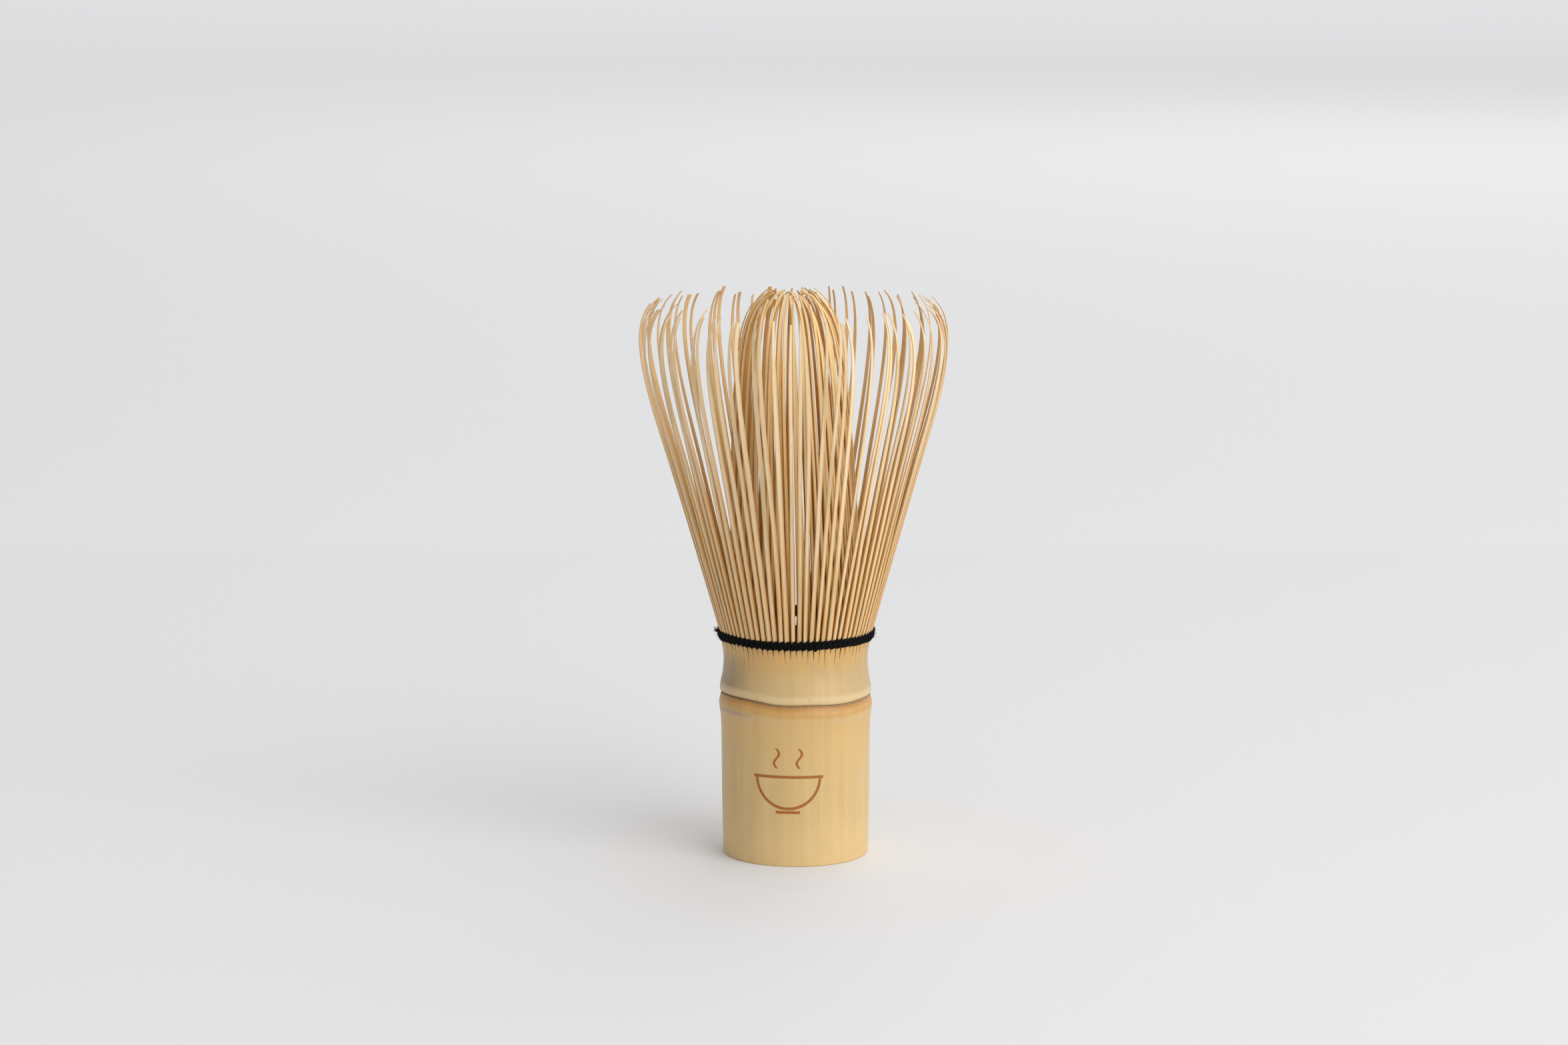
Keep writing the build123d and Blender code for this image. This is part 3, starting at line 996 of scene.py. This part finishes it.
# Each round's height from the middle of the thread, which tines it passes over, and its strands' radius
ROUNDS = ((-0.54, 0, 0.31), (0.0, 1, 0.33), (0.54, 0, 0.31))
LOOSE_FIBRES = 1500
FRAYED_FIBRES = 34


def thread_z(azimuth):
    """The height of the middle of the thread: it climbs towards the back."""
    climb = 1.3 * np.maximum(np.sin(azimuth), 0) ** 2
    return THREAD_Z + climb + 0.12 * ripple(azimuth, 0 * azimuth, 41, 7, 50)


def by_thread(azimuth, radius, lift):
    """The point at a radius and a height above the middle of the thread, and the way outwards."""
    out = np.array([math.cos(azimuth), math.sin(azimuth), 0.0])
    z = float(thread_z(np.array([azimuth]))[0]) + lift
    return np.array([out[0] * radius, out[1] * radius, z]), out


def strand(heap, path, radius, plies=2, twist=2.6, sides=6):
    """A twisted yarn along a path: its plies wind round each other."""
    path = np.asarray(path, float)
    step = np.linalg.norm(np.diff(path, axis=0), axis=1)
    length = np.concatenate([[0], np.cumsum(step)])
    along = np.gradient(path, axis=0)
    along /= np.linalg.norm(along, axis=1)[:, None]
    side = np.cross(along, (0.13, 0.07, 0.99))
    side /= np.linalg.norm(side, axis=1)[:, None]
    up = np.cross(side, along)
    for ply in range(plies):
        angle = length * twist + ply * 2 * math.pi / plies
        centre = path + radius * 0.42 * (side * np.cos(angle)[:, None] + up * np.sin(angle)[:, None])
        rings = along_path(centre, radius * 0.66, sides)
        around = np.tile(np.arange(sides) * 0.2, len(path))
        own = np.full(len(around), float(heap.count % 97))
        grain = np.stack([around, np.repeat(length, sides), own], 1)
        heap.add(rings, grain=grain)


def twined_round(heap, level, phase, radius):
    """One round of twining: two strands that change places in every slit."""
    azimuth = np.linspace(0, 2 * math.pi, TINES * 14, endpoint=False)
    azimuth = np.append(azimuth, azimuth[0] + 2 * math.pi)
    # A strand is outside over every other tine. The tines' middles are half a pitch from the slits.
    for side in (0, 1):
        wave = np.cos((azimuth / PITCH - 0.5 + side + phase) * math.pi)
        swing = np.tanh(2.8 * wave) / math.tanh(2.8)
        z = thread_z(azimuth) + level
        outside = curve(z, CULM_SIDE) + radius - 0.06
        r = INSIDE_TINES + (outside - INSIDE_TINES) * (0.5 + 0.5 * swing)
        lift = 0.16 * np.sin((azimuth / PITCH - 0.5 + side + phase) * math.pi)
        path = np.stack([r * np.cos(azimuth), r * np.sin(azimuth), z + lift], 1)
        strand(heap, path, radius)


def thread():
    """The twined rounds, the loops drawn up between the tines, and loose fibres."""
    heap = Heap()
    for level, phase, radius in ROUNDS:
        twined_round(heap, level, phase, radius)
    for slit in range(TINES):
        azimuth = slit * PITCH + rng.normal(0, 0.002)
        z = float(thread_z(np.array([azimuth]))[0])
        top = rng.uniform(0.95, 1.45)
        t = np.linspace(0, 1, 7)
        r = 14.62 + 0.28 * t - 0.35 * t**3
        path = np.stack([r * math.cos(azimuth), r * math.sin(azimuth), z - 0.6 + (top + 0.6) * t], 1)
        rings = along_path(path, 0.27 * np.sqrt(1 - (t * 0.96) ** 2) + 0.02, 6)
        heap.add(rings, grain=rings.reshape(-1, 3) * 0.7)
    for _ in range(LOOSE_FIBRES):
        azimuth = rng.uniform(0, 2 * math.pi)
        base, out = by_thread(azimuth, THREAD_FACE, rng.uniform(-0.75, 0.85))
        drift = rng.normal(0, 0.6, 3)
        t = np.linspace(0, 1, 5)[:, None]
        length = rng.uniform(0.1, 0.45)
        path = base + length * (t * (out * 0.8 + drift * 0.6) + t * t * rng.normal(0, 0.4, 3))
        heap.add(along_path(path, 0.008, 3), grain=np.tile(base, (15, 1)))
    made = heap.piece("twined_thread", HANDLE, "cotton_thread", COTTON, sharp=60)
    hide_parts("thread_lower_round", "thread_middle_round", "thread_upper_round")


def knot():
    """The knot that ends the thread, low on the front, and the frayed end at its left."""
    heap = Heap()
    azimuth = math.radians(-76)
    centre, out = by_thread(azimuth, 14.75, -0.62)
    beside = np.array([-math.sin(azimuth), math.cos(azimuth), 0])
    t = np.linspace(0, 2 * math.pi, 60)
    x = (np.sin(t) + 2 * np.sin(2 * t)) * 0.16
    y = (np.cos(t) - 2 * np.cos(2 * t)) * 0.13
    depth = -np.sin(3 * t) * 0.16
    path = centre + x[:, None] * beside + y[:, None] * np.array([0, 0, 1.0]) + depth[:, None] * out
    strand(heap, path, 0.2, twist=3.2)
    end = math.radians(183)
    foot, away = by_thread(end, THREAD_FACE, 0.2)
    t = np.linspace(0, 1, 8)[:, None]
    for _ in range(FRAYED_FIBRES):
        reach = away * rng.uniform(0.2, 0.8)
        rise = np.array([0, rng.normal(0, 0.3), rng.uniform(0.1, 1.2)])
        path = foot + t * (reach + rise) + t * t * rng.normal(0, 0.22, 3)
        heap.add(along_path(path, 0.05 * (1 - t[:, 0] * 0.8), 4), grain=np.tile(foot, (32, 1)))
    name, stands_for = "thread_knot_and_end", ["thread_knot"]
    heap.piece(name, HANDLE, "cotton_thread", COTTON, stands_for=stands_for, sharp=60)


handle()
neck()
inner_roots()
septum()
outer_tines()
inner_tines()
thread()
knot()


# --- The setting ---

# The camera's place in metres, its tilt up from straight down in degrees, and its lens
CAMERA_PLACE = (-0.002309, -0.79687, 0.19533)
CAMERA_TILT = 80.678
CAMERA_LENS = 96.53


def floor():
    """One wide pale surface, a shade darker on this side of its far edge, and lightest far away, where
    the paler colour is painted light.
    """
    s = Shader("pale_surface")
    place = s.node("ShaderNodeTexCoord").outputs["Object"]
    y = s.node("ShaderNodeSeparateXYZ", {0: place}).outputs["Y"]
    color = s.mix(s.step(y, 0.335, 0.362), (0.765, 0.765, 0.77), (0.78, 0.78, 0.785))
    # Painted light: the floor paler far away, for the light on the far backdrop.
    color = s.mix(s.step(y, 1.0, 3.5), color, (0.90, 0.90, 0.905))
    s.bsdf.inputs["Specular IOR Level"].default_value = 0.12
    material = s.finish(Base_Color=color, Roughness=0.8)
    verts = [(-9000, -9000, 0), (9000, -9000, 0), (9000, 9000, 0), (-9000, 9000, 0)]
    piece("floor", verts, [(0, 1, 2, 3)], None, None, material)


def area_light(name, place, target, size, power, color=(1, 1, 1)):
    """A round lamp, in metres and watts, that faces its target."""
    light = bpy.data.lights.new(name, "AREA")
    light.shape = "DISK"
    light.size = size
    light.energy = power
    light.color = color
    made = bpy.data.objects.new(name, light)
    made.location = place
    made.rotation_euler = (Vector(target) - Vector(place)).to_track_quat("-Z", "Y").to_euler()
    bpy.context.scene.collection.objects.link(made)


def soft_room():
    """The room's even light, stronger on the window's side."""
    world = bpy.data.worlds.new("soft_room")
    world.use_nodes = True
    nodes, links = world.node_tree.nodes, world.node_tree.links
    direction = nodes.new("ShaderNodeTexCoord").outputs["Generated"]
    sideways = nodes.new("ShaderNodeSeparateXYZ")
    links.new(direction, sideways.inputs[0])
    spread = nodes.new("ShaderNodeMapRange")
    links.new(sideways.outputs["X"], spread.inputs["Value"])
    spread.interpolation_type = "SMOOTHSTEP"
    spread.inputs["From Min"].default_value = -1
    spread.inputs["To Min"].default_value = 0.42
    spread.inputs["To Max"].default_value = 1.1
    links.new(spread.outputs[0], nodes["Background"].inputs["Strength"])
    nodes["Background"].inputs["Color"].default_value = (0.985, 0.99, 1.0, 1)
    bpy.context.scene.world = world


def camera():
    """The camera, in front of the whisk and a little above it, looking down at it."""
    lens = bpy.data.cameras.new("camera")
    lens.sensor_width = 36
    lens.lens = CAMERA_LENS
    lens.clip_start = 0.01
    made = bpy.data.objects.new("camera", lens)
    made.location = CAMERA_PLACE
    made.rotation_euler = (math.radians(CAMERA_TILT), 0, 0)
    bpy.context.scene.collection.objects.link(made)
    bpy.context.scene.camera = made


floor()
soft_room()
area_light("window", (0.9, -0.95, 0.72), (0, 0, 0.05), 1.5, 12.5, (1, 0.99, 0.97))
area_light("second_window", (0.5, 1.7, 1.1), (0, 0.6, 0), 1.4, 4.5)
area_light("far_lamp", (0.4, 5.2, 2.5), (0.4, 5.2, 0), 3.0, 9)
bpy.context.scene.view_settings.view_transform = "Standard"
camera()
